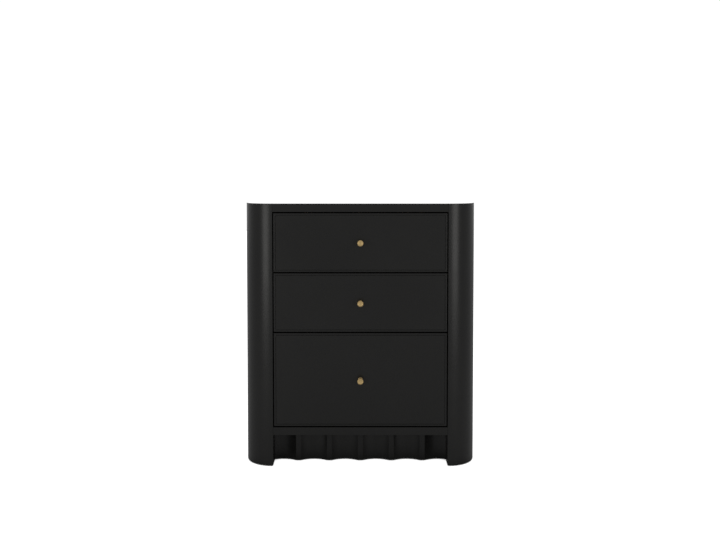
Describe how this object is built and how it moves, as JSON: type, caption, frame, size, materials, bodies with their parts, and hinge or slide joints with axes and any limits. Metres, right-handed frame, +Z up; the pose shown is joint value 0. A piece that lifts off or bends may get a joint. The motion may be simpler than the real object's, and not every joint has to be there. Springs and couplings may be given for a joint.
{
  "type": "nightstand with drawers",
  "caption": "Nightstand with quarter-round corner posts, inset beaded drawers on ball-bearing slides, turned knobs and a recessed fluted plinth.",
  "frame": {"origin": "on the floor, in the middle of the space that the cabinet and its knobs take up", "axes": "+Z up, -Y out of the front, +X to the right seen from the front"},
  "size_m": [0.56, 0.472, 0.637],
  "materials": {
    "satin_black_lacquer": "satin black lacquer on board",
    "black_inside_finish": "flat black lacquer on board",
    "bare_beech": "planed, bare",
    "clear_birch": "clear satin lacquer on solid birch",
    "birch_plywood": "clear satin lacquer on plywood",
    "aged_brass": "turned and lightly brushed, mellowed brass",
    "zinc_plated_slide": "bright zinc plating on pressed steel",
    "screw_steel": "zinc-plated screws",
    "nylon": "moulded nylon",
    "bumper_rubber": "soft rubber buttons"
  },
  "bodies": {
    "carcass": {"back_panel": "black_inside_finish", "back_panel_screws": "screw_steel", "bottom_panel": "satin_black_lacquer", "carcass_dowels": "bare_beech", "floor_glides": "nylon", "fluted_plinth": "satin_black_lacquer", "front_bumpers": "bumper_rubber", "left_corner_post": "satin_black_lacquer", "left_inner_panel": "black_inside_finish", "left_outer_panel": "satin_black_lacquer", "left_rear_post": "black_inside_finish", "left_side_battens": "bare_beech", "lower_divider_rail": "black_inside_finish", "lower_slide_outer_members": "zinc_plated_slide", "middle_slide_outer_members": "zinc_plated_slide", "plinth_glue_blocks": "bare_beech", "rear_plinth_rail": "black_inside_finish", "right_corner_post": "satin_black_lacquer", "right_inner_panel": "black_inside_finish", "right_outer_panel": "satin_black_lacquer", "right_rear_post": "black_inside_finish", "right_side_battens": "bare_beech", "slide_screws": "screw_steel", "top_panel": "satin_black_lacquer", "upper_divider_rail": "black_inside_finish", "upper_slide_outer_members": "zinc_plated_slide"},
    "upper_drawer": {"upper_drawer_back": "clear_birch", "upper_drawer_bottom": "birch_plywood", "upper_drawer_box_front": "clear_birch", "upper_drawer_front": "satin_black_lacquer", "upper_drawer_knob": "aged_brass", "upper_drawer_knob_screw": "screw_steel", "upper_drawer_left_side": "clear_birch", "upper_drawer_right_side": "clear_birch", "upper_drawer_screws": "screw_steel", "upper_slide_inner_members": "zinc_plated_slide"},
    "upper_slide_middles": {"upper_slide_middle_members": "zinc_plated_slide"},
    "middle_drawer": {"middle_drawer_back": "clear_birch", "middle_drawer_bottom": "birch_plywood", "middle_drawer_box_front": "clear_birch", "middle_drawer_front": "satin_black_lacquer", "middle_drawer_knob": "aged_brass", "middle_drawer_knob_screw": "screw_steel", "middle_drawer_left_side": "clear_birch", "middle_drawer_right_side": "clear_birch", "middle_drawer_screws": "screw_steel", "middle_slide_inner_members": "zinc_plated_slide"},
    "middle_slide_middles": {"middle_slide_middle_members": "zinc_plated_slide"},
    "lower_drawer": {"lower_drawer_back": "clear_birch", "lower_drawer_bottom": "birch_plywood", "lower_drawer_box_front": "clear_birch", "lower_drawer_front": "satin_black_lacquer", "lower_drawer_knob": "aged_brass", "lower_drawer_knob_screw": "screw_steel", "lower_drawer_left_side": "clear_birch", "lower_drawer_right_side": "clear_birch", "lower_drawer_screws": "screw_steel", "lower_slide_inner_members": "zinc_plated_slide"},
    "lower_slide_middles": {"lower_slide_middle_members": "zinc_plated_slide"}
  },
  "joints": [
    {"name": "upper_drawer_slide", "type": "slide", "parent": "carcass", "child": "upper_drawer", "axis": [0, -1, 0], "range_m": [0, 0.39]},
    {"name": "upper_middle_members_slide", "type": "slide", "parent": "carcass", "child": "upper_slide_middles", "axis": [0, -1, 0], "range_m": [0, 0.195]},
    {"name": "middle_drawer_slide", "type": "slide", "parent": "carcass", "child": "middle_drawer", "axis": [0, -1, 0], "range_m": [0, 0.39]},
    {"name": "middle_middle_members_slide", "type": "slide", "parent": "carcass", "child": "middle_slide_middles", "axis": [0, -1, 0], "range_m": [0, 0.195]},
    {"name": "lower_drawer_slide", "type": "slide", "parent": "carcass", "child": "lower_drawer", "axis": [0, -1, 0], "range_m": [0, 0.39]},
    {"name": "lower_middle_members_slide", "type": "slide", "parent": "carcass", "child": "lower_slide_middles", "axis": [0, -1, 0], "range_m": [0, 0.195]}
  ],
  "couplings": [
    {"joint": "upper_middle_members_slide", "follows": "upper_drawer_slide", "ratio": 0.5},
    {"joint": "middle_middle_members_slide", "follows": "middle_drawer_slide", "ratio": 0.5},
    {"joint": "lower_middle_members_slide", "follows": "lower_drawer_slide", "ratio": 0.5}
  ]
}
